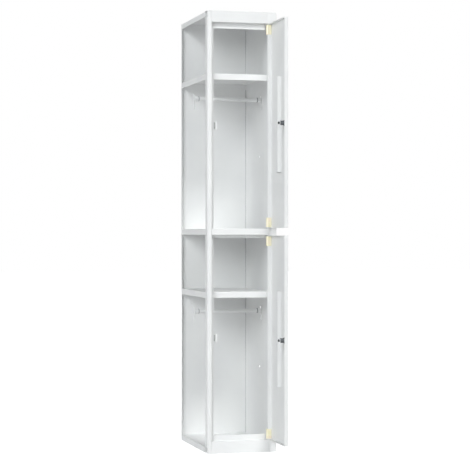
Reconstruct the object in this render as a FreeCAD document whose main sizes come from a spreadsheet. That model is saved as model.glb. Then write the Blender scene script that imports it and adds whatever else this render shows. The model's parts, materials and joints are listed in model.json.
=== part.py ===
import FreeCAD, Part
import math
import os

import Sketcher

# Mudroom locker unit: one add-on bay of a two-tier steel locker, millimetres, +Z up.
# The front plane faces -Y, the open side faces -X, and the doors hang on the +X post.

SIZES = [
    ("unit_width", 300, "outside width"),
    ("unit_depth", 480, "outside depth"),
    ("unit_height", 1850, "outside height"),
    ("gauge", 1, "sheet thickness of the case and doors"),
    ("bend", 1, "inside radius of a sheet fold"),
    ("left_post", 19, "face width of the left post"),
    ("right_post", 37, "face width of the hinge post"),
    ("hinge_return", 23, "depth of the hinge post's return beside the opening"),
    ("frame_deep", 35, "depth of the front frame"),
    ("post_notch", 25, "notch at each end of the left post's side return"),
    ("top_rail", 48, "face height of the top rail"),
    ("middle_rail", 27, "face height of the middle rail"),
    ("base_rail", 52, "face height of the base rail"),
    ("stop_deep", 17, "depth of the door stop behind the front plane"),
    ("stop_lip", 12, "width of the lips on posts and middle rail"),
    ("tray_deep", 50, "roof and floor trays behind the front plane"),
    ("tall_lip", 24, "height of the stop lip on top and base rails"),
    ("roof_flange", 22, "flange height of the roof panel"),
    ("shelf_flange", 25, "flange height of floor, divider and hat shelves"),
    ("shelf_rise", 650, "hat shelf above the floor of its tier"),
    ("shelf_back", 24, "hat shelf front edge behind the front plane"),
    ("back_flange", 15, "left flange of the back panel"),
    ("back_lap", 20, "lap of back panel and of side panel at the right"),
    ("slot_long", 16, "joining slot length"),
    ("slot_high", 8, "joining slot height"),
    ("slot_back", 255, "joining slot behind the front plane"),
    ("slot_rise", 315, "low joining slot above the floor of its tier"),
    ("slot_lift", 14, "high joining slot above the axis of the rod"),
    ("slot_step", 13, "high joining slot before the low one"),
    ("rod_round", 16, "hanging rod diameter"),
    ("rod_wall", 1.2, "wall of the hanging rod's tube"),
    ("rod_drop", 90, "hanging rod below the top of the hat shelf"),
    ("rod_back", 230, "hanging rod behind the front plane"),
    ("cup_round", 24, "rod cup diameter"),
    ("cup_long", 15, "rod cup length"),
    ("stem_wide", 20, "rod bracket stem width"),
    ("stem_drop", 44, "rod bracket stem below the axis of the rod"),
    ("plate_thick", 1.5, "rod bracket plate thickness"),
    ("screw_drop", 28, "rod bracket screws below the axis of the rod"),
    ("screw_pitch", 16, "rod bracket screw spacing"),
    ("screw_round", 4, "rod bracket screw diameter"),
    ("screw_head", 8, "rod bracket screw head diameter"),
    ("screw_play", 0.25, "radial play of a screw in a rod bracket plate"),
    ("door_gap", 2, "gap around a closed door"),
    ("door_thick", 16, "door pan thickness"),
    ("door_open", 90, "opening angle of both doors, degrees"),
    ("hat_wide", 20, "stiffener crown width"),
    ("hat_deep", 12, "stiffener depth"),
    ("hat_foot", 10, "stiffener foot width"),
    ("hat_long", 395, "stiffener length"),
    ("pivot_side", 8.5, "hinge axis beside the door opening"),
    ("pivot_back", 5, "hinge axis behind the front plane"),
    ("arm_thick", 2, "hinge arm thickness"),
    ("arm_high", 40, "hinge arm height"),
    ("arm_end", 4, "hinge arm from the end of the door"),
    ("arm_reach", 15, "clear reach of the hinge arm from its axis"),
    ("arm_room", 10, "rail lips cut back for the swing of a hinge arm"),
    ("pin_round", 5, "hinge pin diameter"),
    ("pin_play", 0.05, "radial play of the pin in the knuckle"),
    ("knuckle_round", 7, "hinge knuckle diameter"),
    ("ear_thick", 2.5, "hinge bracket ear thickness"),
    ("ear_gap", 0.4, "gap between knuckle and ear"),
    ("window_gap", 2, "clearance of the hinge window above and below the arm"),
    ("lock_in", 38, "lock axis from the free edge of the door"),
    ("barrel_round", 18, "lock barrel diameter"),
    ("barrel_long", 24, "lock barrel length behind the front plane"),
    ("rim_round", 24, "lock rim diameter"),
    ("rim_thick", 4, "lock rim thickness"),
    ("ring_flats", 24, "lock ring nut across flats"),
    ("ring_thick", 5, "lock ring nut thickness"),
    ("plug_round", 12, "key plug diameter"),
    ("plug_play", 0.05, "radial play of the key plug"),
    ("cam_wide", 16, "lock cam width"),
    ("cam_reach", 28, "lock cam reach from its axis"),
    ("cam_thick", 2, "lock cam thickness"),
    ("cam_gap", 0.3, "gap between barrel and cam"),
    ("tang_flats", 8, "square tang of the plug"),
    ("stud_round", 6, "threaded end of the plug"),
    ("cam_nut_flats", 10, "cam nut across flats"),
    ("cam_nut_thick", 5, "cam nut thickness"),
    ("keeper_thick", 1.5, "lock keeper thickness"),
    ("keeper_high", 34, "lock keeper height"),
    ("keeper_step", 4, "lock keeper set back from the stop lip"),
    ("keeper_out", 16, "lock keeper beyond the stop lip"),
]

doc = FreeCAD.newDocument("MudroomLocker")
sheet = doc.addObject("Spreadsheet::Sheet", "Size")
for row, (alias, value, note) in enumerate(SIZES, 1):
    sheet.set(f"A{row}", note)
    sheet.set(f"B{row}", str(value))
    sheet.setAlias(f"B{row}", alias)
doc.recompute()
ALIASES = [alias for alias, _, _ in SIZES]


def ex(text):
    """The expression with every size name pointed at the spreadsheet."""
    out = ""
    word = ""
    for ch in text + " ":
        if ch.isalpha() or ch == "_":
            word += ch
            continue
        out += f"Size.{word}" if word in ALIASES else word
        word = ""
        out += ch
    return out.strip()


def num(text):
    """The present value of an expression."""
    return float(sheet.evalExpression(ex(text)))


# Named positions, each an expression of the sizes
LEFT = "(-unit_width / 2)"
RIGHT = "(unit_width / 2)"
FRONT = "(-unit_depth / 2)"
BACK = "(unit_depth / 2)"
OPEN_L = f"({LEFT} + left_post)"
OPEN_R = f"({RIGHT} - right_post)"
STOP = f"({FRONT} + stop_deep)"
HINGE_BACK = f"({FRONT} + hinge_return)"
STOP_BACK = f"({STOP} + gauge)"
FRAME_BACK = f"({FRONT} + frame_deep)"
TRAY_FRONT = f"({FRONT} + tray_deep)"
OPENING = "((unit_height - top_rail - middle_rail - base_rail) / 2)"
MID_LOW = f"(base_rail + {OPENING})"
MID_TOP = f"({MID_LOW} + middle_rail)"
TRAY_L = f"({LEFT} + gauge)"
TRAY_R = f"({RIGHT} - 2 * gauge)"
TRAY_BACK = f"({BACK} - gauge)"
LOW_FLOOR = "shelf_flange"
HIGH_FLOOR = f"({MID_TOP} - gauge)"
ROD_Y = f"({FRONT} + rod_back)"
PIVOT_X = f"({OPEN_R} + pivot_side)"
PIVOT_Y = f"({FRONT} + pivot_back)"
DOOR_W = "(unit_width - left_post - right_post - 2 * door_gap)"
DOOR_H = f"({OPENING} - 2 * door_gap)"
LOW_DOOR = "(base_rail + door_gap)"
HIGH_DOOR = f"({MID_TOP} + door_gap)"
TIERS = (("upper", HIGH_FLOOR, HIGH_DOOR), ("lower", LOW_FLOOR, LOW_DOOR))

# Positions in a door's own frame: origin on the hinge axis at the foot of the door
EDGE_H = "(-pivot_side - door_gap)"
EDGE_F = f"({EDGE_H} - {DOOR_W})"
FACE = "(-pivot_back)"
SKIN = f"({FACE} + gauge)"
INNER = f"({FACE} + door_thick)"
LOCK_X = f"({EDGE_F} + lock_in)"
LOCK_Z = f"({DOOR_H} / 2)"
CAM_Y = f"({FACE} + barrel_long + cam_gap)"

PLANES = {"XY": "XY_Plane", "XZ": "XZ_Plane", "YZ": "YZ_Plane"}


def new_body(label):
    body = doc.addObject("PartDesign::Body", label)
    body.Label = label
    return body


def new_sketch(body, plane, level, name):
    """A sketch on one of the body's own planes, lifted to a level along that plane's outside axis."""
    sketch = body.newObject("Sketcher::SketchObject", name)
    base = next(f for f in body.Origin.OriginFeatures if f.Role == PLANES[plane])
    sketch.AttachmentSupport = [(base, "")]
    sketch.MapMode = "FlatFace"
    sign = "-" if plane == "XZ" else ""
    sketch.setExpression("AttachmentOffset.Base.z", ex(f"{sign}({level})"))
    return sketch


def drive(sketch, kind, refs, text):
    """A dimension of the sketch that follows an expression."""
    index = sketch.addConstraint(Sketcher.Constraint(kind, *refs, num(text)))
    sketch.setExpression(f"Constraints[{index}]", ex(text))


def outline(sketch, points):
    """A closed outline through points that are pairs of expressions."""
    at = [FreeCAD.Vector(num(u), num(v), 0) for u, v in points]
    ends = at[1:] + at[:1]
    lines = [sketch.addGeometry(Part.LineSegment(a, b)) for a, b in zip(at, ends)]
    for line, following in zip(lines, lines[1:] + lines[:1]):
        sketch.addConstraint(Sketcher.Constraint("Coincident", line, 2, following, 1))
    for line, (u, v) in zip(lines, points):
        drive(sketch, "DistanceX", (-1, 1, line, 1), u)
        drive(sketch, "DistanceY", (-1, 1, line, 1), v)


def circle(sketch, u, v, radius):
    """A circle centred at a pair of expressions."""
    centre = FreeCAD.Vector(num(u), num(v), 0)
    index = sketch.addGeometry(Part.Circle(centre, FreeCAD.Vector(0, 0, 1), num(radius)))
    drive(sketch, "DistanceX", (-1, 1, index, 3), u)
    drive(sketch, "DistanceY", (-1, 1, index, 3), v)
    drive(sketch, "Radius", (index,), radius)


def grow(body, kind, sketch, length):
    """A pad or a pocket of the given length from a sketch."""
    feature = body.newObject(f"PartDesign::{kind}", f"{kind}_{sketch.Name}")
    feature.Profile = sketch
    feature.setExpression("Length", ex(length))
    sketch.Visibility = False
    sketch.recompute()
    feature.recompute()
    return feature


def rect(u, v):
    """The four corners of a rectangle from two pairs of expressions."""
    return [(u[0], v[0]), (u[1], v[0]), (u[1], v[1]), (u[0], v[1])]


def block(body, kind, name, x, y, z):
    """A pad upwards, or a pocket downwards, over a box given by pairs of expressions."""
    level = z[0] if kind == "Pad" else z[1]
    sketch = new_sketch(body, "XY", level, name)
    outline(sketch, rect(x, y))
    return grow(body, kind, sketch, f"({z[1]}) - ({z[0]})")


def round_y(body, kind, name, x, z, radius, y):
    """A round pad or pocket along Y between two expressions."""
    level = y[1] if kind == "Pad" else y[0]
    sketch = new_sketch(body, "XZ", level, name)
    circle(sketch, x, z, radius)
    return grow(body, kind, sketch, f"({y[1]}) - ({y[0]})")


def round_x(body, kind, name, y, z, radius, x):
    """A round pad or pocket along X between two expressions."""
    level = x[0] if kind == "Pad" else x[1]
    sketch = new_sketch(body, "YZ", level, name)
    circle(sketch, y, z, radius)
    return grow(body, kind, sketch, f"({x[1]}) - ({x[0]})")


def round_z(body, kind, name, x, y, radius, z):
    """A round pad or pocket along Z between two expressions."""
    level = z[0] if kind == "Pad" else z[1]
    sketch = new_sketch(body, "XY", level, name)
    circle(sketch, x, y, radius)
    return grow(body, kind, sketch, f"({z[1]}) - ({z[0]})")


def hexagon_y(body, name, x, z, flats, y):
    """A six-sided pad along Y, given its width across the flats."""
    sketch = new_sketch(body, "XZ", y[1], name)
    corners = []
    for i in range(6):
        u = round(math.cos(math.radians(60 * i)) / math.cos(math.radians(30)), 9)
        v = round(math.sin(math.radians(60 * i)) / math.cos(math.radians(30)), 9)
        corners.append((f"({x}) + ({u}) * {flats} / 2", f"({z}) + ({v}) * {flats} / 2"))
    outline(sketch, corners)
    return grow(body, "Pad", sketch, f"({y[1]}) - ({y[0]})")


def soften(body, kind, size, chosen):
    """A fillet or chamfer on the edges of the tip that the test picks."""
    tip = body.Tip
    names = [f"Edge{i}" for i, e in enumerate(tip.Shape.Edges, 1) if chosen(e)]
    feature = body.newObject(f"PartDesign::{kind}", f"{kind}_{body.Name}")
    feature.Base = (tip, names)
    prop = "Radius" if kind == "Fillet" else "Size"
    feature.setExpression(prop, ex(size))
    feature.recompute()
    return feature


def mid(edge):
    return edge.valueAt((edge.FirstParameter + edge.LastParameter) / 2)


def along(edge, axis):
    """True if the edge is straight and runs along a coordinate axis."""
    if not isinstance(edge.Curve, Part.Line):
        return False
    return abs(abs(getattr(edge.Curve.Direction, axis)) - 1) < 1e-6


def folded(body, plane, name, path, side, span, thick="gauge", radius="bend"):
    """A folded strip: the path is its outer line, the thickness lies on one side, the folds are round."""
    at = [(num(u), num(v)) for u, v in path]
    normals = []
    for (u0, v0), (u1, v1) in zip(at, at[1:]):
        long = math.hypot(u1 - u0, v1 - v0)
        normals.append((-(v1 - v0) / long * side, (u1 - u0) / long * side))
    other = []
    for i, (u, v) in enumerate(path):
        near = normals[max(i - 1, 0):i + 1] if i < len(normals) else normals[-1:]
        du = round(sum(n[0] for n in near))
        dv = round(sum(n[1] for n in near))
        other.append((f"({u}) + ({du}) * {thick}", f"({v}) + ({dv}) * {thick}"))
    sketch = new_sketch(body, plane, span[0], name)
    outline(sketch, list(path) + other[::-1])
    grow(body, "Pad", sketch, f"({span[1]}) - ({span[0]})")
    axes = {"XY": "xyz", "YZ": "yzx"}[plane]
    inner = []
    outer = []
    for i in range(1, len(path) - 1):
        cross = normals[i - 1][0] * normals[i][1] - normals[i - 1][1] * normals[i][0]
        pair = [at[i], (num(other[i][0]), num(other[i][1]))]
        if cross * side < 0:
            pair.reverse()
        inner.append(pair[1])
        outer.append(pair[0])
    for size, spots in ((f"{radius} + {thick}", outer), (radius, inner)):
        def on_fold(edge, spots=spots):
            if not along(edge, axes[2]):
                return False
            point = mid(edge)
            here = (getattr(point, axes[0]), getattr(point, axes[1]))
            return any(math.dist(here, s) < 1e-4 for s in spots)
        soften(body, "Fillet", size, on_fold)
    return body


def open_pan(body, axis, sign):
    """Hollows the tip to sheet thickness, leaving out its extreme face along an axis."""
    tip = body.Tip
    best = max(
        range(len(tip.Shape.Faces)),
        key=lambda i: sign * getattr(tip.Shape.Faces[i].CenterOfMass, axis),
    )
    shell = body.newObject("PartDesign::Thickness", f"Thickness_{body.Name}")
    shell.Base = (tip, [f"Face{best + 1}"])
    shell.setExpression("Value", ex("gauge"))
    shell.Reversed = True
    shell.Mode = 0
    shell.Join = 0
    shell.recompute()
    return shell


def tray(label, x, y, z):
    """A folded tray: a deck with a flange turned down on all four sides."""
    body = new_body(label)
    block(body, "Pad", f"{label}_block", x, y, z)
    top = num(z[1])
    soften(body, "Fillet", "bend + gauge", lambda e: along(e, "z") or abs(mid(e).z - top) < 1e-6)
    open_pan(body, "z", -1)
    return body


def place(body, x, y, z, turn=None):
    """Puts a body at expressions, turned about +Z if asked."""
    if turn:
        body.Placement = FreeCAD.Placement(
            FreeCAD.Vector(0, 0, 0), FreeCAD.Rotation(FreeCAD.Vector(0, 0, 1), num(turn))
        )
        body.setExpression("Placement.Rotation.Angle", ex(turn))
    body.setExpression("Placement.Base.x", ex(x))
    body.setExpression("Placement.Base.y", ex(y))
    body.setExpression("Placement.Base.z", ex(z))
    return body


def hang(body, foot):
    """Hangs a piece of a door on the hinge axis at the door's opening angle."""
    return place(body, PIVOT_X, PIVOT_Y, foot, "door_open")


def arm_spans(foot):
    """The two heights at which the hinge arms of a door sit."""
    low = f"({foot} + arm_end)"
    high = f"({foot} + {DOOR_H} - arm_end - arm_high)"
    return (("bottom", low), ("top", high))


# Front frame
left_post = new_body("left_post")
folded(
    left_post, "XY", "left_post_line",
    [(LEFT, FRAME_BACK), (LEFT, FRONT), (OPEN_L, FRONT), (OPEN_L, STOP), (f"{OPEN_L} + stop_lip", STOP)],
    1, ("0", "unit_height - gauge"),
)
for end, z in (("foot", ("-gauge", "post_notch")), ("head", ("unit_height - post_notch", "unit_height"))):
    block(
        left_post, "Pocket", f"left_post_{end}",
        (f"{LEFT} - gauge", f"{LEFT} + 1.5 * gauge"),
        (f"{FRONT} + 4 * gauge", f"{FRAME_BACK} + gauge"), z,
    )

right_post = new_body("right_post")
folded(
    right_post, "XY", "right_post_line",
    [
        (RIGHT, FRAME_BACK), (RIGHT, FRONT), (OPEN_R, FRONT),
        (OPEN_R, HINGE_BACK), (f"{OPEN_R} + stop_lip", HINGE_BACK),
    ],
    -1, ("0", "unit_height - gauge"),
)
for tier, floor, foot in TIERS:
    for end, low in arm_spans(foot):
        block(
            right_post, "Pocket", f"right_post_{tier}_{end}",
            (f"{OPEN_R} - gauge", f"{OPEN_R} + stop_lip + gauge"),
            (f"{FRONT} + gauge", f"{PIVOT_Y} + arm_reach + arm_thick + window_gap"),
            (f"{low} - window_gap", f"{low} + arm_high + window_gap"),
        )


def rail(label, path, side, beside_lip, beside_arm):
    """A rail between the posts, cut back for the left post's lip and for the swing of a hinge arm."""
    body = new_body(label)
    folded(body, "YZ", f"{label}_line", path, side, (OPEN_L, OPEN_R))
    ends = (
        ((OPEN_L, f"{OPEN_L} + stop_lip"), beside_lip),
        ((f"{OPEN_R} - arm_room", OPEN_R), beside_arm),
    )
    for number, (x, z) in enumerate(ends):
        block(
            body, "Pocket", f"{label}_end{number}",
            x, (f"{STOP} - bend", f"{FRAME_BACK} + gauge"), z,
        )
    return body


TOP_LOW = "(unit_height - top_rail)"
TOP_CUT = (f"{TOP_LOW} - tall_lip - gauge", f"{TOP_LOW} + 4 * gauge")
top_rail = rail(
    "top_rail",
    [
        (TRAY_FRONT, "unit_height"), (FRONT, "unit_height"), (FRONT, TOP_LOW),
        (STOP, TOP_LOW), (STOP, f"{TOP_LOW} - tall_lip"),
    ],
    1, TOP_CUT, TOP_CUT,
)
for number, x in enumerate(((LEFT, OPEN_L), (OPEN_R, RIGHT))):
    block(
        top_rail, "Pad", f"top_rail_cap{number}",
        x, (f"{FRONT} + 2 * gauge", TRAY_FRONT), ("unit_height - gauge", "unit_height"),
    )
middle_rail = rail(
    "middle_rail",
    [
        (FRAME_BACK, MID_TOP), (FRONT, MID_TOP), (FRONT, MID_LOW),
        (STOP, MID_LOW), (STOP, f"{MID_LOW} - stop_lip"),
    ],
    1, (f"{MID_LOW} - stop_lip - gauge", f"{MID_TOP} + gauge"),
    (f"{MID_LOW} - stop_lip - gauge", f"{MID_LOW} + 4 * gauge"),
)
base_rail = rail(
    "base_rail",
    [
        (TRAY_FRONT, "0"), (FRONT, "0"), (FRONT, "base_rail"),
        (STOP, "base_rail"), (STOP, "base_rail + tall_lip"),
    ],
    -1, ("-gauge", "base_rail + tall_lip + gauge"),
    ("base_rail - 4 * gauge", "base_rail + tall_lip + gauge"),
)

# Case panels
back_panel = new_body("back_panel")
folded(
    back_panel, "XY", "back_panel_line",
    [(LEFT, f"{BACK} - back_flange"), (LEFT, BACK), (RIGHT, BACK), (RIGHT, f"{BACK} - back_lap")],
    -1, ("0", "unit_height"),
)

side_panel = new_body("side_panel")
block(
    side_panel, "Pad", "side_panel_sheet",
    (TRAY_R, f"{TRAY_R} + gauge"), (f"{FRAME_BACK} - back_lap", f"{TRAY_BACK} - bend"),
    ("0", "unit_height - gauge"),
)
SHEET_X = (f"{TRAY_R} - gauge", f"{TRAY_R} + 2 * gauge")
for tier, floor, foot in TIERS:
    half = "(slot_long / 2 - slot_high / 2)"
    rod = f"({floor} + shelf_rise - rod_drop)"
    slots = (
        ("low", f"({FRONT} + slot_back)", f"({floor} + slot_rise)"),
        ("high", f"({FRONT} + slot_back - slot_step)", f"({rod} + slot_lift)"),
    )
    for name, middle, level in slots:
        ends = (f"{middle} - {half}", f"{middle} + {half}")
        block(
            side_panel, "Pocket", f"{tier}_{name}_slot", SHEET_X,
            ends, (f"{level} - slot_high / 2", f"{level} + slot_high / 2"),
        )
        for number, y in enumerate(ends):
            round_x(
                side_panel, "Pocket", f"{tier}_{name}_slot_end{number}",
                y, level, "slot_high / 2", SHEET_X,
            )
    for number, sign in enumerate("-+"):
        round_x(
            side_panel, "Pocket", f"{tier}_screw_hole{number}",
            ROD_Y, f"{rod} - screw_drop {sign} screw_pitch / 2", "screw_round / 2", SHEET_X,
        )

TRAY_X = (TRAY_L, TRAY_R)
roof_panel = tray(
    "roof_panel", TRAY_X, (TRAY_FRONT, TRAY_BACK), ("unit_height - roof_flange", "unit_height")
)
floor_panel = tray("floor_panel", TRAY_X, (TRAY_FRONT, TRAY_BACK), ("0", "shelf_flange"))
block(
    floor_panel, "Pad", "floor_tongue",
    (f"{OPEN_L} + stop_lip + gauge", f"{OPEN_R} - stop_lip - gauge"),
    (STOP_BACK, f"{TRAY_FRONT} + 3 * gauge"), ("shelf_flange - gauge", "shelf_flange"),
)


def shelf(label, front, top):
    return tray(label, TRAY_X, (front, TRAY_BACK), (f"{top} - shelf_flange", top))


divider_shelf = shelf("divider_shelf", STOP_BACK, HIGH_FLOOR)
block(
    divider_shelf, "Pocket", "divider_shelf_notch",
    (f"{OPEN_R} - gauge", f"{TRAY_R} + gauge"), (f"{STOP_BACK} - gauge", f"{HINGE_BACK} + gauge"),
    (f"{HIGH_FLOOR} - shelf_flange - gauge", f"{HIGH_FLOOR} + gauge"),
)


def hat_shelf(tier, floor):
    return shelf(f"{tier}_hat_shelf", f"({FRONT} + shelf_back)", f"({floor} + shelf_rise)")


# Hanging rods and their brackets
PLATE_L = (LEFT, f"{LEFT} + plate_thick")
PLATE_R = (f"{TRAY_R} - plate_thick", TRAY_R)


def rod_bracket(label, plate, cup, level):
    """A narrow plate, screwed on below the rod, with an open-topped cup for the rod's end."""
    body = new_body(label)
    block(
        body, "Pad", f"{label}_stem", plate,
        (f"{ROD_Y} - stem_wide / 2", f"{ROD_Y} + stem_wide / 2"),
        (f"{level} - stem_drop", f"{level} + rod_round / 2"),
    )
    soften(body, "Fillet", "stem_wide / 4", lambda e: along(e, "x"))
    round_x(body, "Pad", f"{label}_cup", ROD_Y, level, "cup_round / 2", cup)
    round_x(body, "Pocket", f"{label}_bore", ROD_Y, level, "rod_round / 2", cup)
    block(
        body, "Pocket", f"{label}_mouth", cup,
        (f"{ROD_Y} - rod_round / 2", f"{ROD_Y} + rod_round / 2"), (level, f"{level} + cup_round"),
    )
    across = (f"{plate[0]} - gauge", f"{plate[1]} + gauge")
    for number, sign in enumerate("-+"):
        round_x(
            body, "Pocket", f"{label}_hole{number}",
            ROD_Y, f"{level} - screw_drop {sign} screw_pitch / 2",
            "screw_round / 2 + screw_play", across,
        )
    return body


def rod_screw(label, level):
    """A pan-head screw through the plate of a right-hand bracket and the side panel."""
    body = new_body(label)
    round_x(
        body, "Pad", f"{label}_shank", ROD_Y, level, "screw_round / 2",
        (f"{PLATE_R[0]} - gauge", f"{TRAY_R} + gauge"),
    )
    round_x(
        body, "Pad", f"{label}_head", ROD_Y, level, "screw_head / 2",
        (f"{PLATE_R[0]} - screw_head / 3", PLATE_R[0]),
    )
    face = num(f"{PLATE_R[0]} - screw_head / 3")
    soften(body, "Fillet", "screw_head / 5", lambda e: abs(mid(e).x - face) < 1e-6)
    return body


def hanging(tier, floor):
    level = f"({floor} + shelf_rise - rod_drop)"
    rod = new_body(f"{tier}_hanging_rod")
    round_x(
        rod, "Pad", f"{tier}_rod", ROD_Y, level, "rod_round / 2", (PLATE_L[1], PLATE_R[0])
    )
    soften(rod, "Chamfer", "gauge / 2", lambda e: True)
    round_x(
        rod, "Pocket", f"{tier}_rod_tube", ROD_Y, level, "rod_round / 2 - rod_wall",
        (f"{PLATE_L[1]} - gauge", f"{PLATE_R[0]} + gauge"),
    )
    rod_bracket(f"{tier}_rod_bracket_left", PLATE_L, (PLATE_L[1], f"{PLATE_L[1]} + cup_long"), level)
    rod_bracket(f"{tier}_rod_bracket_right", PLATE_R, (f"{PLATE_R[0]} - cup_long", PLATE_R[0]), level)
    for name, sign in (("low", "-"), ("high", "+")):
        rod_screw(f"{tier}_rod_screw_{name}", f"({level} - screw_drop {sign} screw_pitch / 2)")


# Lock keepers on the back of the left post's stop lip
def keeper(tier, foot):
    label = f"{tier}_lock_keeper"
    centre = f"({foot} + {LOCK_Z})"
    tip = f"({OPEN_L} + stop_lip)"
    turn = f"({tip} + keeper_out / 2)"
    step = f"({STOP_BACK} + keeper_step)"
    body = new_body(label)
    folded(
        body, "XY", f"{label}_line",
        [
            (f"{OPEN_L} + gauge", STOP_BACK), (f"{tip} - keeper_thick", STOP_BACK),
            (f"{tip} - keeper_thick", step), (turn, step), (turn, STOP), (f"{tip} + keeper_out", STOP),
        ],
        1, (f"{centre} - keeper_high / 2", f"{centre} + keeper_high / 2"), "keeper_thick",
    )
    return body


# Hinges: the bracket and the pin stay in the post, the cranked arm rides on the door
def hinge_bracket(label, low):
    body = new_body(label)
    reach = "(knuckle_round / 2 + ear_gap + gauge)"
    lip = f"({PIVOT_X} + {reach})"
    behind = f"({PIVOT_Y} + knuckle_round / 2)"
    base = f"({low} - ear_gap - ear_thick)"
    head = f"({low} + arm_high + ear_gap + ear_thick)"
    face = f"({FRONT} + gauge)"
    block(
        body, "Pad", f"{label}_web",
        (f"{PIVOT_X} - knuckle_round / 2", f"{lip} + arm_thick"), (face, behind), (base, head),
    )
    block(
        body, "Pocket", f"{label}_gap",
        (f"{PIVOT_X} - knuckle_round", lip), (f"{face} - gauge", f"{behind} + gauge"),
        (f"{base} + ear_thick", f"{head} - ear_thick"),
    )
    block(
        body, "Pad", f"{label}_foot",
        (f"{lip} + arm_thick", f"{lip} + 8 * arm_thick"), (face, f"{face} + arm_thick"), (base, head),
    )
    round_z(
        body, "Pocket", f"{label}_pin_hole", PIVOT_X, PIVOT_Y, "pin_round / 2",
        (f"{base} - gauge", f"{head} + gauge"),
    )
    return body


def hinge_pin(label, low):
    body = new_body(label)
    round_z(
        body, "Pad", f"{label}_round", PIVOT_X, PIVOT_Y, "pin_round / 2",
        (f"{low} - ear_gap - ear_thick - gauge", f"{low} + arm_high + ear_gap + ear_thick + gauge"),
    )
    soften(body, "Chamfer", "pin_round / 10", lambda e: True)
    return body


def hinge_arm(label, low):
    """The cranked arm: a leaf on the door's edge flange, a neck around the post and a rolled knuckle."""
    body = new_body(label)
    leaf = f"({EDGE_H} - gauge)"
    folded(
        body, "XY", f"{label}_line",
        [
            (leaf, f"{SKIN} + bend"), (leaf, "arm_reach"),
            ("-arm_thick / 2", "arm_reach"), ("-arm_thick / 2", "0"),
        ],
        1, (low, f"{low} + arm_high"), "arm_thick", "arm_thick",
    )
    round_z(
        body, "Pad", f"{label}_knuckle", "0", "0", "knuckle_round / 2", (low, f"{low} + arm_high")
    )
    round_z(
        body, "Pocket", f"{label}_bore", "0", "0", "pin_round / 2 + pin_play",
        (f"{low} - gauge", f"{low} + arm_high + gauge"),
    )
    return body


# Doors
def door_pan(tier):
    body = new_body(f"{tier}_door_pan")
    block(body, "Pad", f"{tier}_pan_block", (EDGE_F, EDGE_H), (FACE, INNER), ("0", DOOR_H))
    face = num(FACE)
    soften(body, "Fillet", "bend + gauge", lambda e: abs(mid(e).y - face) < 1e-6)
    open_pan(body, "y", 1)
    round_y(
        body, "Pocket", f"{tier}_lock_hole", LOCK_X, LOCK_Z, "barrel_round / 2",
        (f"{FACE} - gauge", f"{SKIN} + gauge"),
    )
    return body


def stiffener(tier):
    """A hat section of one sheet with walls at 45 degrees, its feet on the skin of the door."""
    body = new_body(f"{tier}_door_stiffener")
    centre = f"({EDGE_F} + {DOOR_W} / 2)"
    base = "(hat_wide / 2 + hat_deep)"
    slant = f"{round(math.sqrt(2) - 1, 9)} * gauge"
    under = [
        (f"{base} + hat_foot", "0"), (base, "0"), (f"{base} - hat_deep + gauge", "hat_deep - gauge"),
    ]
    over = [
        (f"{base} - hat_deep + gauge + {slant}", "hat_deep"), (f"{base} + {slant}", "gauge"),
        (f"{base} + hat_foot", "gauge"),
    ]
    half = [(u, f"{SKIN} + {v}") for u, v in under]
    points = [(f"{centre} + {u}", v) for u, v in half]
    points += [(f"{centre} - ({u})", v) for u, v in reversed(half)]
    half = [(u, f"{SKIN} + {v}") for u, v in over]
    points += [(f"{centre} - ({u})", v) for u, v in reversed(half)]
    points += [(f"{centre} + {u}", v) for u, v in half]
    sketch = new_sketch(body, "XY", f"{LOCK_Z} - hat_long / 2", f"{tier}_hat_line")
    outline(sketch, points)
    grow(body, "Pad", sketch, "hat_long")
    near = num(f"{base} + hat_foot / 2")
    soften(body, "Fillet", "gauge", lambda e: along(e, "z") and abs(mid(e).x - num(centre)) < near)
    return body


# Locks
def lock_barrel(tier):
    body = new_body(f"{tier}_lock_barrel")
    name = f"{tier}_barrel"
    round_y(
        body, "Pad", f"{name}_rim", LOCK_X, LOCK_Z, "rim_round / 2", (f"{FACE} - rim_thick", FACE)
    )
    rim = num(f"{FACE} - rim_thick")
    soften(body, "Fillet", "rim_thick / 2", lambda e: abs(mid(e).y - rim) < 1e-6)
    back = f"({FACE} + barrel_long)"
    round_y(body, "Pad", f"{name}_body", LOCK_X, LOCK_Z, "barrel_round / 2", (FACE, back))
    round_y(
        body, "Pocket", f"{name}_bore", LOCK_X, LOCK_Z, "plug_round / 2 + plug_play",
        (f"{FACE} - 2 * rim_thick", f"{back} + gauge"),
    )
    return body


def ring_nut(tier):
    body = new_body(f"{tier}_lock_nut")
    span = (SKIN, f"{SKIN} + ring_thick")
    hexagon_y(body, f"{tier}_ring", LOCK_X, LOCK_Z, "ring_flats", span)
    round_y(
        body, "Pocket", f"{tier}_ring_bore", LOCK_X, LOCK_Z, "barrel_round / 2",
        (f"{SKIN} - gauge", f"{SKIN} + ring_thick + gauge"),
    )
    return body


TANG = ("-tang_flats / 2", "tang_flats / 2")


def key_plug(tier):
    """The turning core: key slot in front, square tang for the cam, threaded end for its nut."""
    body = new_body(f"{tier}_key_plug")
    name = f"{tier}_plug"
    front = f"({FACE} - rim_thick)"
    round_y(body, "Pad", f"{name}_core", LOCK_X, LOCK_Z, "plug_round / 2", (front, CAM_Y))
    block(
        body, "Pad", f"{name}_tang", tuple(f"{LOCK_X} + {t}" for t in TANG),
        (CAM_Y, f"{CAM_Y} + cam_thick"), tuple(f"{LOCK_Z} + {t}" for t in TANG),
    )
    round_y(
        body, "Pad", f"{name}_stud", LOCK_X, LOCK_Z, "stud_round / 2",
        (f"{CAM_Y} + cam_thick", f"{CAM_Y} + cam_thick + cam_nut_thick + gauge"),
    )
    block(
        body, "Pocket", f"{name}_key_slot",
        (f"{LOCK_X} - 0.8 * gauge", f"{LOCK_X} + 0.8 * gauge"),
        (f"{front} - gauge", f"{front} + plug_round / 2"),
        (f"{LOCK_Z} - plug_round / 3", f"{LOCK_Z} + plug_round / 3"),
    )
    return body


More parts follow.
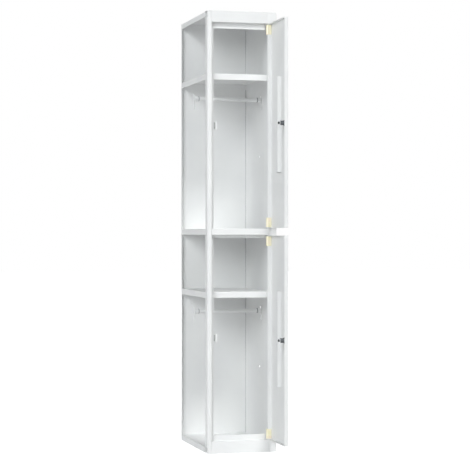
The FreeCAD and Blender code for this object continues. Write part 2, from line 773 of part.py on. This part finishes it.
def lock_cam(tier):
    body = new_body(f"{tier}_lock_cam")
    span = (CAM_Y, f"{CAM_Y} + cam_thick")
    block(
        body, "Pad", f"{tier}_cam_bar",
        (f"{LOCK_X} - cam_wide / 2", f"{LOCK_X} + cam_wide / 2"), span,
        (f"{LOCK_Z} - cam_reach", f"{LOCK_Z} + cam_wide / 2"),
    )
    soften(body, "Fillet", "cam_wide / 4", lambda e: along(e, "y"))
    block(
        body, "Pocket", f"{tier}_cam_square", tuple(f"{LOCK_X} + {t}" for t in TANG),
        (f"{CAM_Y} - gauge", f"{CAM_Y} + cam_thick + gauge"), tuple(f"{LOCK_Z} + {t}" for t in TANG),
    )
    return body


def cam_nut(tier):
    body = new_body(f"{tier}_cam_nut")
    low = f"({CAM_Y} + cam_thick)"
    span = (low, f"{low} + cam_nut_thick")
    hexagon_y(body, f"{tier}_cam_nut_hex", LOCK_X, LOCK_Z, "cam_nut_flats", span)
    round_y(
        body, "Pocket", f"{tier}_cam_nut_bore", LOCK_X, LOCK_Z, "stud_round / 2",
        (f"{low} - gauge", f"{low} + cam_nut_thick + gauge"),
    )
    return body


for tier, floor, foot in TIERS:
    hat_shelf(tier, floor)
    hanging(tier, floor)
    keeper(tier, foot)
    for end, low in arm_spans(foot):
        hinge_bracket(f"{tier}_{end}_hinge_bracket", low)
        hinge_pin(f"{tier}_{end}_hinge_pin", low)
    for end, low in arm_spans("0"):
        hang(hinge_arm(f"{tier}_{end}_hinge_arm", low), foot)
    for make in (door_pan, stiffener, lock_barrel, ring_nut, key_plug, lock_cam, cam_nut):
        hang(make(tier), foot)

doc.recompute()
bodies = [o for o in doc.Objects if o.TypeId == "PartDesign::Body"]
faults = [o.Name for o in doc.Objects if "Invalid" in o.State or "Error" in o.State]
faults += [b.Label for b in bodies if b.Shape.isNull() or not b.Shape.isValid()]
faults += [b.Label for b in bodies if len(b.Shape.Solids) != 1]
if faults:
    raise RuntimeError(f"parts that did not build: {sorted(set(faults))}")
os.makedirs("parts", exist_ok=True)
for body in bodies:
    body.Shape.exportStep(f"parts/{body.Label}.step")
print(f"{len(bodies)} parts written")
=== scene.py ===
# %% [markdown]
# # A steel locker bay for a mudroom
# The object is one add-on bay of a white two-tier locker. Folded sheet steel makes the case, and
# both doors stand open on the right. The sheet metal comes from the CAD model as a fixed frame, so
# this lesson is about what CAD leaves to Blender: the finishes, the small marks of assembly, the
# studio and the camera.

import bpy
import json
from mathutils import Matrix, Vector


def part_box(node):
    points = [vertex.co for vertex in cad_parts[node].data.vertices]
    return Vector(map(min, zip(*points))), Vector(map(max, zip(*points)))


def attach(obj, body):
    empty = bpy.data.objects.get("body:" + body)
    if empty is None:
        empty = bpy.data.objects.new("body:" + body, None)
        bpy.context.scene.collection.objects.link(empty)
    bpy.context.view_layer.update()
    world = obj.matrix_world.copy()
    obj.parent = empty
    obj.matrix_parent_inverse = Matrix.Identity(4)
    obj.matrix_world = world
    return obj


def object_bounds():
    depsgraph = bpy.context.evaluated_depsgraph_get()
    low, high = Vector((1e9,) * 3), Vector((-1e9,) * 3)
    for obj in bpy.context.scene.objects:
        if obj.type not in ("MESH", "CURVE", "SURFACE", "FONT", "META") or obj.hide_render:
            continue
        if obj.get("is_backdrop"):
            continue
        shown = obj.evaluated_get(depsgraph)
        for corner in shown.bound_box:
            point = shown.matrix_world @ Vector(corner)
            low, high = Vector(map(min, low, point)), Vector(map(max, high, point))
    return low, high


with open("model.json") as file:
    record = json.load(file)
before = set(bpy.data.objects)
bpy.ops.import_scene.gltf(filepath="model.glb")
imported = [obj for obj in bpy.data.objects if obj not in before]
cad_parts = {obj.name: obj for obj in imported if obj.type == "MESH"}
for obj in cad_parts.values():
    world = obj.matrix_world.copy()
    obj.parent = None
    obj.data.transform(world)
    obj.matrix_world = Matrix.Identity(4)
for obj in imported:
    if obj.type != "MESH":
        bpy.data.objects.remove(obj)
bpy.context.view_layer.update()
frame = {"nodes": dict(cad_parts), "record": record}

# %% [markdown]
# Everything is in metres, but a sheet-metal worker thinks in millimetres, so one constant turns
# them round. Colours are read off a screen as sRGB hex values, while a shader wants linear light,
# so one function converts them.

# %% Units and colours
import json
import math

import bmesh
import bpy
from mathutils import Matrix, Vector

MM = 0.001
scene = bpy.context.scene


def linear(hex_colour):
    """An sRGB hex colour as linear RGBA."""
    channels = [int(hex_colour[i:i + 2], 16) / 255 for i in (1, 3, 5)]
    light = [c / 12.92 if c <= 0.04045 else ((c + 0.055) / 1.055) ** 2.4 for c in channels]
    return (*light, 1.0)


print("a mid grey of the screen in linear light:", [round(c, 3) for c in linear("#808080")])

# %% [markdown]
# Shader trees are built from code by one small function: it adds a node, sets its properties, and
# fills each input with a value or with a link from another node. A colour ramp also gets its stops.
# A repeat size in millimetres becomes a texture scale by dividing one metre by it. A noise texture
# seldom leaves the band from 0.3 to 0.7, so ramps and ranges are stretched over that band.

# %% The node function
NOISE_LOW, NOISE_HIGH = 0.3, 0.7


def fill(tree, node, inputs):
    """Sets a node's inputs; one that is given a socket is linked to it."""
    for name, value in inputs.items():
        if isinstance(value, bpy.types.NodeSocket):
            tree.links.new(value, node.inputs[name])
        else:
            node.inputs[name].default_value = value


def add(tree, kind, inputs=None, stops=(), **settings):
    """Adds a shader node with its settings, its inputs and, on a ramp, its colour stops."""
    node = tree.nodes.new(kind)
    for name, value in settings.items():
        setattr(node, name, value)
    fill(tree, node, inputs or {})
    for number, (position, colour) in enumerate(stops):
        ramp = node.color_ramp.elements
        stop = ramp[number] if number < len(ramp) else ramp.new(position)
        stop.position, stop.color = position, linear(colour)
    return node


def per_metre(size_mm):
    """The texture scale at which a pattern repeats about every size_mm."""
    return 1.0 / (size_mm * MM)


def new_finish(name):
    """An empty material with its output, its shader and the object's own coordinates."""
    material = bpy.data.materials.new(name)
    material.use_nodes = True
    tree = material.node_tree
    tree.nodes.clear()
    shader = add(tree, "ShaderNodeBsdfPrincipled")
    add(tree, "ShaderNodeOutputMaterial", {"Surface": shader.outputs["BSDF"]})
    place = add(tree, "ShaderNodeTexCoord").outputs["Object"]
    return material, tree, shader, place


print("a 3 mm grain needs scale", round(per_metre(3)))

# %% [markdown]
# ## Powder coat
# The case and doors are powder-coated steel: polyester powder is sprayed on dry and melted in an
# oven. It flows into a satin skin with a faint orange peel, and its film is a little thicker in
# some places than in others. So the colour and the gloss drift slowly over a hand's width, and the
# peel is a bump. Real peel is about 2 mm from crest to crest; it is drawn at 4 mm here, because a
# pixel of the main view covers 4 mm of the locker.

# %% White powder coat
PEEL_MM, PEEL_DEEP_MM = 4.0, 0.06
DRIFT_MM, GLOSS_MM = 220.0, 45.0

powder_coat, tree, shader, place = new_finish("satin_white_powder_coat")
drift = add(
    tree, "ShaderNodeTexNoise", {"Vector": place, "Scale": per_metre(DRIFT_MM), "Detail": 3.0},
)
tone = add(
    tree, "ShaderNodeValToRGB", {"Fac": drift.outputs["Fac"]},
    stops=((0.35, "#e7e8e8"), (0.65, "#ecedec")),
)
gloss = add(
    tree, "ShaderNodeTexNoise", {"Vector": place, "Scale": per_metre(GLOSS_MM), "Detail": 2.0},
)
satin = add(tree, "ShaderNodeMapRange", {
    "Value": gloss.outputs["Fac"],
    "From Min": NOISE_LOW, "From Max": NOISE_HIGH, "To Min": 0.40, "To Max": 0.50,
})
peel = add(
    tree, "ShaderNodeTexNoise", {"Vector": place, "Scale": per_metre(PEEL_MM), "Detail": 1.0},
)
skin = add(tree, "ShaderNodeBump", {
    "Height": peel.outputs["Fac"], "Strength": 0.12, "Distance": PEEL_DEEP_MM * MM,
})
fill(tree, shader, {
    "Base Color": tone.outputs["Color"],
    "Roughness": satin.outputs["Result"],
    "Normal": skin.outputs["Normal"],
    "IOR": 1.5,
})
print("finish:", powder_coat.name, "with", len(tree.nodes), "nodes")

# %% [markdown]
# ## Zinc
# The hinge brackets, the hinge pins and the lock cams are electroplated with zinc. They are cut
# from rolled strip, which shows fine lines along its length under the plating. A noise that is
# stretched along one axis gives those lines: a small scale along X pulls the pattern long that way.

# %% Bright zinc
LINE_MM, LINE_DEEP_MM, LINE_STRETCH = 1.2, 0.03, 0.03
CLOUD_MM = 14.0

bright_zinc, tree, shader, place = new_finish("bright_zinc_plated_steel")
drawn = add(tree, "ShaderNodeMapping", {"Vector": place, "Scale": (LINE_STRETCH, 1.0, 1.0)})
lines = add(tree, "ShaderNodeTexNoise", {
    "Vector": drawn.outputs["Vector"], "Scale": per_metre(LINE_MM), "Detail": 2.0,
})
cloud = add(
    tree, "ShaderNodeTexNoise", {"Vector": place, "Scale": per_metre(CLOUD_MM), "Detail": 3.0},
)
tone = add(
    tree, "ShaderNodeValToRGB", {"Fac": cloud.outputs["Fac"]},
    stops=((NOISE_LOW, "#e2e4e6"), (NOISE_HIGH, "#f0f2f3")),
)
satin = add(tree, "ShaderNodeMapRange", {
    "Value": lines.outputs["Fac"],
    "From Min": NOISE_LOW, "From Max": NOISE_HIGH, "To Min": 0.28, "To Max": 0.44,
})
skin = add(tree, "ShaderNodeBump", {
    "Height": lines.outputs["Fac"], "Strength": 0.1, "Distance": LINE_DEEP_MM * MM,
})
fill(tree, shader, {
    "Base Color": tone.outputs["Color"],
    "Roughness": satin.outputs["Result"],
    "Normal": skin.outputs["Normal"],
    "Metallic": 1.0,
})
print("finish:", bright_zinc.name, "with", len(tree.nodes), "nodes")

# %% [markdown]
# ## Yellow passivate
# The hinge arms are the one warm colour of the object. Zinc that is dipped in a chromate bath turns
# a pale yellow with faint green and pink clouds, because the film is so thin that its thickness
# tints the light. A ramp with three colours over a soft noise gives those clouds.

# %% Yellow zinc
TINT_MM, GRAIN_MM = 16.0, 1.5

yellow_zinc, tree, shader, place = new_finish("yellow_passivated_zinc")
tint = add(
    tree, "ShaderNodeTexNoise", {"Vector": place, "Scale": per_metre(TINT_MM), "Detail": 2.0},
)
tone = add(
    tree, "ShaderNodeValToRGB", {"Fac": tint.outputs["Fac"]},
    stops=((NOISE_LOW, "#f1ecc9"), (0.5, "#f6f0d4"), (NOISE_HIGH, "#f4e8d2")),
)
grain = add(
    tree, "ShaderNodeTexNoise", {"Vector": place, "Scale": per_metre(GRAIN_MM), "Detail": 2.0},
)
satin = add(tree, "ShaderNodeMapRange", {
    "Value": grain.outputs["Fac"],
    "From Min": NOISE_LOW, "From Max": NOISE_HIGH, "To Min": 0.38, "To Max": 0.5,
})
fill(tree, shader, {
    "Base Color": tone.outputs["Color"], "Roughness": satin.outputs["Result"], "Metallic": 0.25,
})
print("finish:", yellow_zinc.name, "with", len(tree.nodes), "nodes")

# %% [markdown]
# ## Lock metals
# The barrel is a zinc die casting with a dark nickel plate, and its two nuts are blackened steel.
# They are the darkest spots of the photograph, with the bright cam between them. Turning marks run
# round them, which a fine noise in the roughness hints at.

# %% Nickel and black steel
PLATE_MM, TURNING_MM = 6.0, 1.0

lock_metals = {}
for name, dark, pale, (smooth, rough) in (
    ("dark_nickel_die_casting", "#515456", "#696c6e", (0.34, 0.46)),
    ("blackened_steel", "#2c2e30", "#414345", (0.42, 0.58)),
):
    lock_metals[name], tree, shader, place = new_finish(name)
    cloud = add(
        tree, "ShaderNodeTexNoise", {"Vector": place, "Scale": per_metre(PLATE_MM), "Detail": 3.0},
    )
    tone = add(
        tree, "ShaderNodeValToRGB", {"Fac": cloud.outputs["Fac"]},
        stops=((NOISE_LOW, dark), (NOISE_HIGH, pale)),
    )
    marks = add(tree, "ShaderNodeTexNoise", {
        "Vector": place, "Scale": per_metre(TURNING_MM), "Detail": 2.0,
    })
    satin = add(tree, "ShaderNodeMapRange", {
        "Value": marks.outputs["Fac"],
        "From Min": NOISE_LOW, "From Max": NOISE_HIGH, "To Min": smooth, "To Max": rough,
    })
    fill(tree, shader, {
        "Base Color": tone.outputs["Color"], "Roughness": satin.outputs["Result"], "Metallic": 1.0,
    })
print("finishes:", ", ".join(lock_metals))

# %% [markdown]
# ## Dressing the CAD nodes
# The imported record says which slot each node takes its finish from. Going through the record,
# instead of writing fifty names, means that no node can be forgotten.

# %% Finishes on the nodes
FINISH = {
    "white_paint": powder_coat,
    "zinc_steel": bright_zinc,
    "yellow_zinc_steel": yellow_zinc,
    "lock_chrome": lock_metals["dark_nickel_die_casting"],
    "dark_steel": lock_metals["blackened_steel"],
}
for part in frame["record"]["subparts"]:
    mesh = frame["nodes"][part["node"]].data
    mesh.materials.clear()
    mesh.materials.append(FINISH[part["material_slot"]])

# %% [markdown]
# ## Small marks of assembly
# A folded sheet-metal case is held by spot welds and threads; its back corner gets a line of
# painted shade.
# They are too small to be worth a solid in the CAD model, but a close view looks bare without them.
# Each mark is a few bmesh operators, and one function makes the mesh an object that rides on its
# CAD body. Both tiers of the locker have the same marks, so each is made in a loop over the tiers.

# %% The piece function
TIERS = ("upper", "lower")


def fit_piece(shape, name, body, finish):
    """Turns a bmesh into an object with the given finish that rides on a CAD body."""
    bmesh.ops.recalc_face_normals(shape, faces=shape.faces)
    mesh = bpy.data.meshes.new(name)
    shape.to_mesh(mesh)
    shape.free()
    mesh.materials.append(finish)
    piece = bpy.data.objects.new(name, mesh)
    scene.collection.objects.link(piece)
    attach(piece, body)
    return piece


def middle(node):
    """The centre and the half size of a CAD node's box at rest."""
    low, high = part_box(node)
    return (Vector(low) + Vector(high)) / 2, (Vector(high) - Vector(low)) / 2


print("upper door is", [round(2 * v / MM, 1) for v in middle("upper_door_pan")[1]], "mm")

# %% [markdown]
# Three shaping steps come back below. One extrudes a face and moves its new end. One rounds every
# edge of a shape. One draws a small closed outline that a spin then takes round an axis.

# %% Shaping functions
def extrude(shape, face, move):
    """Extrudes a face, moves the new end and returns its faces."""
    made = bmesh.ops.extrude_face_region(shape, geom=[face])["geom"]
    corners = [v for v in made if isinstance(v, bmesh.types.BMVert)]
    bmesh.ops.translate(shape, verts=corners, vec=move)
    return [f for f in made if isinstance(f, bmesh.types.BMFace)]


def round_edges(shape, radius_mm, segments):
    """Rounds all edges of a shape."""
    bmesh.ops.bevel(
        shape, geom=shape.edges[:], offset=radius_mm * MM, affect="EDGES",
        segments=segments, profile=0.5, material=-1,
    )


def closed_line(shape, points):
    """The corners and the edges of a closed outline."""
    corners = [shape.verts.new(point) for point in points]
    edges = [shape.edges.new((corners[i], corners[i - 1])) for i in range(len(corners))]
    return corners, edges


print("shaping with", extrude.__name__, round_edges.__name__, closed_line.__name__)

# %% [markdown]
# Spot welds hold each stiffener to its door: two copper electrodes press the sheets together and
# leave a round dimple about 6 mm wide that the powder coat doesn't quite hide. A disc is inset, and
# its middle is pushed in a little. The rim stands a quarter of a millimetre proud, so that it
# doesn't flicker against the sheet under it.

# %% Spot welds on the stiffeners
WELD_MM, WELD_SIDES, WELDS = 6.0, 16, 6
RIM_MM, RIM_WIDE_MM = 0.25, 0.8
DENT_MM, DENT_SLOPE_MM = 0.2, 0.9
SHEET_MM, FOOT_MIDDLE_MM = 1.0, 5.0

for tier in TIERS:
    centre, half = middle(f"{tier}_door_stiffener")
    skin_x = centre.x + half.x - SHEET_MM * MM
    shape = bmesh.new()
    for edge in (-1, 1):
        foot_y = centre.y + edge * (half.y - FOOT_MIDDLE_MM * MM)
        for number in range(WELDS):
            rise = half.z * ((2 * number + 1) / WELDS - 1)
            spot = Matrix.Translation((skin_x, foot_y, centre.z + rise))
            disc = bmesh.ops.create_circle(
                shape, cap_ends=True, segments=WELD_SIDES, radius=WELD_MM / 2 * MM,
                matrix=spot @ Matrix.Rotation(math.radians(-90), 4, "Y"),
            )
            cap = extrude(shape, disc["verts"][0].link_faces[0], (-RIM_MM * MM, 0.0, 0.0))
            bmesh.ops.inset_region(shape, faces=cap, thickness=RIM_WIDE_MM * MM, depth=0.0)
            bmesh.ops.inset_region(
                shape, faces=cap, thickness=DENT_SLOPE_MM * MM, depth=-DENT_MM * MM,
            )
    welds = fit_piece(shape, f"{tier}_spot_welds", f"{tier}_door", powder_coat)
    print(welds.name, len(welds.data.polygons), "faces")

# %% [markdown]
# The barrel of a cam lock is threaded for its ring nut. A helix is a spin that also moves along its
# axis, so a small triangle is spun eight times round the barrel. A real fine thread has a pitch of
# 1 mm; it is drawn at 2 mm, because finer lines would not show.

# %% Threads on the lock barrels
PITCH_MM, DEPTH_MM, STEPS = 2.0, 0.5, 24
BARREL_MM, NUT_MM, CAM_MM = 9.0, 10.5, 1.5
# The triangle's corners, as shares of the pitch along the barrel and of the depth out from it.
THREAD = ((0.0, 0.0), (0.5, 1.0), (0.9, 0.0))

for tier in TIERS:
    low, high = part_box(f"{tier}_lock_barrel")
    axis = (Vector(low) + Vector(high)) / 2
    start = low[0] + CAM_MM * MM
    turns = int((high[0] - NUT_MM * MM - start) / (PITCH_MM * MM))
    shape = bmesh.new()
    corners, edges = closed_line(shape, [
        (start + along * PITCH_MM * MM, axis.y, axis.z + (BARREL_MM + out * DEPTH_MM) * MM)
        for along, out in THREAD
    ])
    shape.faces.new(corners)
    bmesh.ops.spin(
        shape, geom=corners + edges, cent=axis, axis=(1.0, 0.0, 0.0), angle=2 * math.pi * turns,
        dvec=(PITCH_MM * MM / STEPS, 0.0, 0.0), steps=STEPS * turns,
    )
    bmesh.ops.holes_fill(shape, edges=[e for e in shape.edges if e.is_boundary], sides=3)
    thread = fit_piece(
        shape, f"{tier}_barrel_thread", f"{tier}_door",
        lock_metals["dark_nickel_die_casting"],
    )
    print(thread.name, turns, "turns")

# %% [markdown]
# The side panel and the back panel meet in a lap joint. The shade line in that corner is painted on
# as a thin grey strip of painted shade, not a part of the locker. Its section is a small triangle,
# extruded upwards once for each space between two shelves.

# %% Painted shade line in the back corner
SHADE_LINE_MM, SHADE_LINE_NOISE_MM = 1.0, 18.0

# The grey of this strip is painted shade: it darkens the corner where the shade falls.
corner_shade_paint, tree, shader, place = new_finish("grey_painted_corner_shade")
shade_line_noise = add(
    tree, "ShaderNodeTexNoise", {"Vector": place, "Scale": per_metre(SHADE_LINE_NOISE_MM), "Detail": 3.0},
)
tone = add(
    tree, "ShaderNodeValToRGB", {"Fac": shade_line_noise.outputs["Fac"]},
    stops=((NOISE_LOW, "#8b8e8e"), (NOISE_HIGH, "#9b9e9e")),
)
fill(tree, shader, {"Base Color": tone.outputs["Color"], "Roughness": 0.7})

corner_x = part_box("side_panel")[0][0]
corner_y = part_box("divider_shelf")[1][1]
levels = ["floor_panel", "lower_hat_shelf", "divider_shelf", "upper_hat_shelf", "roof_panel"]
for under, over in zip(levels, levels[1:]):
    low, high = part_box(under)[1][2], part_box(over)[0][2]
    shape = bmesh.new()
    section = [
        shape.verts.new((corner_x - a * SHADE_LINE_MM * MM, corner_y - b * SHADE_LINE_MM * MM, low))
        for a, b in ((0, 0), (1, 0), (0, 1))
    ]
    extrude(shape, shape.faces.new(section), (0.0, 0.0, high - low))
    line = fit_piece(shape, f"{under}_painted_corner_shade_line", "case", corner_shade_paint)
    print(line.name, round((high - low) / MM), "mm long")

# %% [markdown]
# The open left end of each hanging rod hooks into the side panel of the next bay. On the photograph
# the bracket there seems to have a second, bright prong that leans back above the rod. It is an
# outline of five corners, filled as one face, extruded to the thickness of the sheet and rounded at
# its edges.

# %% Hooks at the open side
# The prong's corners: back and up from the middle of the rod.
HOOK_MM = ((-19, -9), (-8, -10), (16, 14), (16, 19), (10, 19))
HOOK_THICK_MM, HOOK_ROUND_MM, HOOK_BACK_MM = 1.5, 0.4, 0.2

for tier in TIERS:
    rod, _ = middle(f"{tier}_hanging_rod")
    outer_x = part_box(f"{tier}_rod_bracket_left")[0][0] + HOOK_BACK_MM * MM
    shape = bmesh.new()
    outline = [
        shape.verts.new((outer_x, rod.y + back * MM, rod.z + up * MM)) for back, up in HOOK_MM
    ]
    extrude(shape, shape.faces.new(outline), (HOOK_THICK_MM * MM, 0.0, 0.0))
    round_edges(shape, HOOK_ROUND_MM, segments=2)
    hook = fit_piece(shape, f"{tier}_rod_hook", "case", powder_coat)
    print(hook.name, len(hook.data.polygons), "faces")

# %% [markdown]
# The dark spots at the mouths of the rod cups and in the recesses of the lock keepers are shade.
# They are painted here as two small grey parts: a ring on the rod at each cup, and a block in each
# keeper recess. Both are painted shade, not parts of the locker, and a soft noise mottles their
# grey.

# %% Grey paints for painted shade
SHADE_MOTTLE_MM = 5.0

# Both greys are painted shade, not the colours of real parts.
painted_shade_greys = {}
for name, dark, pale, rough in (
    ("painted_shade_grey_at_rod_cups", "#8f9190", "#9b9d9c", 0.5),
    ("painted_shade_grey_in_keeper_recesses", "#adafae", "#b9bbba", 0.8),
):
    painted_shade_greys[name], tree, shader, place = new_finish(name)
    shade_mottle = add(
        tree, "ShaderNodeTexNoise", {"Vector": place, "Scale": per_metre(SHADE_MOTTLE_MM), "Detail": 2.0},
    )
    tone = add(
        tree, "ShaderNodeValToRGB", {"Fac": shade_mottle.outputs["Fac"]},
        stops=((NOISE_LOW, dark), (NOISE_HIGH, pale)),
    )
    fill(tree, shader, {"Base Color": tone.outputs["Color"], "Roughness": rough})
print("finishes:", ", ".join(painted_shade_greys))

# %% [markdown]
# The shade ring is a rectangle that is spun once round the rod. The first and last steps of a full
# spin meet, so they are merged. The shade block in the keeper recess is a cube, scaled to its size
# and rounded at its edges.

# %% Painted shade rings and recess blocks
RING_IN_MM, RING_OUT_MM, RING_WIDE_MM, RING_STEPS = 8.0, 10.5, 3.0, 32
RECESS_SHADE_MM, RECESS_SHADE_ROUND_MM = (7.4, 3.0, 26.0), 0.8
RECESS_MM, RECESS_FRONT_MM = 12.4, 1.5

for tier in TIERS:
    rod, _ = middle(f"{tier}_hanging_rod")
    mouths = {
        "left": (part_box(f"{tier}_rod_bracket_left")[1][0], 1),
        "right": (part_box(f"{tier}_rod_bracket_right")[0][0], -1),
    }
    for side, (mouth_x, inward) in mouths.items():
        end_x = mouth_x + inward * RING_WIDE_MM * MM
        inner_z, outer_z = rod.z + RING_IN_MM * MM, rod.z + RING_OUT_MM * MM
        shape = bmesh.new()
        corners, edges = closed_line(shape, [
            (mouth_x, rod.y, inner_z), (mouth_x, rod.y, outer_z),
            (end_x, rod.y, outer_z), (end_x, rod.y, inner_z),
        ])
        bmesh.ops.spin(
            shape, geom=corners + edges, cent=rod, axis=(1.0, 0.0, 0.0), angle=2 * math.pi,
            steps=RING_STEPS, use_merge=True,
        )
        # A grey ring of painted shade at the mouth of the rod cup.
        fit_piece(
            shape, f"{tier}_{side}_rod_shade_ring", "case", painted_shade_greys["painted_shade_grey_at_rod_cups"],
        )
    low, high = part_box(f"{tier}_lock_keeper")
    front_y = low[1] + RECESS_FRONT_MM * MM
    spot = (high[0] - RECESS_MM * MM, front_y + RECESS_SHADE_MM[1] / 2 * MM, (low[2] + high[2]) / 2)
    size = Matrix.Diagonal([*(length * MM for length in RECESS_SHADE_MM), 1.0])
    # A grey block of painted shade in the keeper recess.
    shape = bmesh.new()
    bmesh.ops.create_cube(shape, size=1.0, matrix=Matrix.Translation(spot) @ size)
    round_edges(shape, RECESS_SHADE_ROUND_MM, segments=3)
    recess_shade = fit_piece(
        shape, f"{tier}_keeper_recess_shade", "case", painted_shade_greys["painted_shade_grey_in_keeper_recesses"],
    )
    print(tier, "rings at", [round(x / MM, 1) for x, _ in mouths.values()], "mm and", recess_shade.name)

# %% [markdown]
# ## Studio
# The locker stands in a white studio. The floor is a large plane with an ordinary diffuse finish,
# so that it takes the locker's shadow and throws light back up. For the camera, and in mirror
# reflections, it also glows: that makes the background white without putting more light on the
# object. The glow is fullest a few metres away, where the lamps reach less, so that no horizon
# shows.

# %% Floor
FLOOR_M = 30.0
NEAR_GLOW, FAR_GLOW = 0.84, 1.0
NEAR_M, FAR_M = 2.0, 7.0


def seen_directly(tree):
    """1 for rays from the camera, or from a mirror or glass surface, and 0 for diffuse light."""
    path = add(tree, "ShaderNodeLightPath")
    first = add(
        tree, "ShaderNodeMath",
        {0: path.outputs["Is Camera Ray"], 1: path.outputs["Is Glossy Ray"]}, operation="MAXIMUM",
    )
    both = add(
        tree, "ShaderNodeMath",
        {0: first.outputs["Value"], 1: path.outputs["Is Transmission Ray"]}, operation="MAXIMUM",
    )
    return both.outputs["Value"]


studio_floor = bpy.data.materials.new("white_studio_floor")
studio_floor.use_nodes = True
tree = studio_floor.node_tree
tree.nodes.clear()
matte = add(tree, "ShaderNodeBsdfDiffuse", {"Color": linear("#e9e9e9")})
place = add(tree, "ShaderNodeTexCoord").outputs["Object"]
away = add(tree, "ShaderNodeVectorMath", {0: place}, operation="LENGTH")
rise = add(tree, "ShaderNodeMapRange", {
    "Value": away.outputs["Value"],
    "From Min": NEAR_M, "From Max": FAR_M, "To Min": NEAR_GLOW, "To Max": FAR_GLOW,
})
lift = add(
    tree, "ShaderNodeMath", {0: seen_directly(tree), 1: rise.outputs["Result"]},
    operation="MULTIPLY",
)
glow = add(
    tree, "ShaderNodeEmission", {"Color": linear("#ffffff"), "Strength": lift.outputs["Value"]},
)
surface = add(tree, "ShaderNodeAddShader", {0: matte.outputs["BSDF"], 1: glow.outputs["Emission"]})
add(tree, "ShaderNodeOutputMaterial", {"Surface": surface.outputs["Shader"]})

shape = bmesh.new()
bmesh.ops.create_grid(shape, x_segments=1, y_segments=1, size=FLOOR_M)
mesh = bpy.data.meshes.new("studio_floor")
shape.to_mesh(mesh)
shape.free()
mesh.materials.append(studio_floor)
floor = bpy.data.objects.new("studio_floor", mesh)
scene.collection.objects.link(floor)
floor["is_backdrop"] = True
print("floor:", floor.name)

# %% [markdown]
# The world gives the even light of white walls. It is white where the camera looks at it, and
# dimmer as a light, so that the folds and the hollow tiers keep their shading.

# %% World
AMBIENT = 0.03

world = bpy.data.worlds.new("white_studio")
scene.world = world
world.use_nodes = True
tree = world.node_tree
tree.nodes.clear()
level = add(
    tree, "ShaderNodeMapRange", {"Value": seen_directly(tree), "To Min": AMBIENT, "To Max": 1.0},
)
walls = add(
    tree, "ShaderNodeBackground",
    {"Color": linear("#ffffff"), "Strength": level.outputs["Result"]},
)
add(tree, "ShaderNodeOutputWorld", {"Surface": walls.outputs["Background"]})
print("world light:", AMBIENT)

# %% [markdown]
# Three soft boxes do the rest. The key hangs in front of the locker and above it, at about
# 48 degrees: the shadow of the top rail on its stop lip gives that angle. The second stands lower,
# on the open side; its light enters under the shelves, and the slanting shadow of the roof's edge
# on the back panel gives its direction. Both leave dark bands under the roof. The third stands
# behind, for views of the closed side and the back; the main view hardly shows it.

# %% Soft boxes
AIM_M, FAR_OFF_M = Vector((0.0, -0.1, 1.0)), 20.0
# Degrees above the floor, degrees to the side, diameter in m, level on a face that meets it, colour
SOFT_BOXES = {
    "key_softbox": (48.0, 4.0, 4.4, 0.47, "#ffffff"),
    "side_softbox": (22.0, -45.0, 12.0, 0.655, "#f8fbfd"),
    "back_softbox": (16.0, 130.0, 8.0, 0.42, "#ffffff"),
}
for name, (above, aside, wide, level, tint) in SOFT_BOXES.items():
    above, aside = math.radians(above), math.radians(aside)
    flat = math.cos(above)
    away = Vector((math.sin(aside) * flat, -math.cos(aside) * flat, math.sin(above)))
    lamp = bpy.data.lights.new(name, "AREA")
    lamp.shape = "DISK"
    lamp.size = wide
    lamp.energy = level * (math.pi * FAR_OFF_M) ** 2
    lamp.color = linear(tint)[:3]
    box = bpy.data.objects.new(name, lamp)
    box.location = AIM_M + FAR_OFF_M * away
    box.rotation_euler = away.to_track_quat("Z", "Y").to_euler()
    scene.collection.objects.link(box)
    print(name, "at", [round(v, 2) for v in box.location], "with", round(lamp.energy), "W")

# %% [markdown]
# ## Camera
# The two vanishing points of the photograph give a long lens about 7 m away, level with the middle
# rail and turned 15 degrees to the right, so upright lines stay upright.

# %% Camera
FOCAL_PX, IMAGE_PX, SENSOR_MM = 1609.0, 470, 36.0
CAMERA_MM, YAW = (-1779.1, -6740.2, 923.8), 15.05

view = bpy.data.cameras.new("photo_view")
view.sensor_width = SENSOR_MM
view.lens = SENSOR_MM * FOCAL_PX / IMAGE_PX
camera = bpy.data.objects.new("photo_view", view)
camera.location = [v * MM for v in CAMERA_MM]
camera.rotation_euler = (math.radians(90.0), 0.0, math.radians(-YAW))
scene.collection.objects.link(camera)
scene.camera = camera
scene.view_settings.view_transform = "Standard"
print("lens in mm:", round(view.lens, 2))

# %% [markdown]
# Last, the size of the dressed object is printed.

# %% Size
low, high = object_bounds()
print("visual box in mm:", [round(v / MM, 1) for v in (*low, *high)])
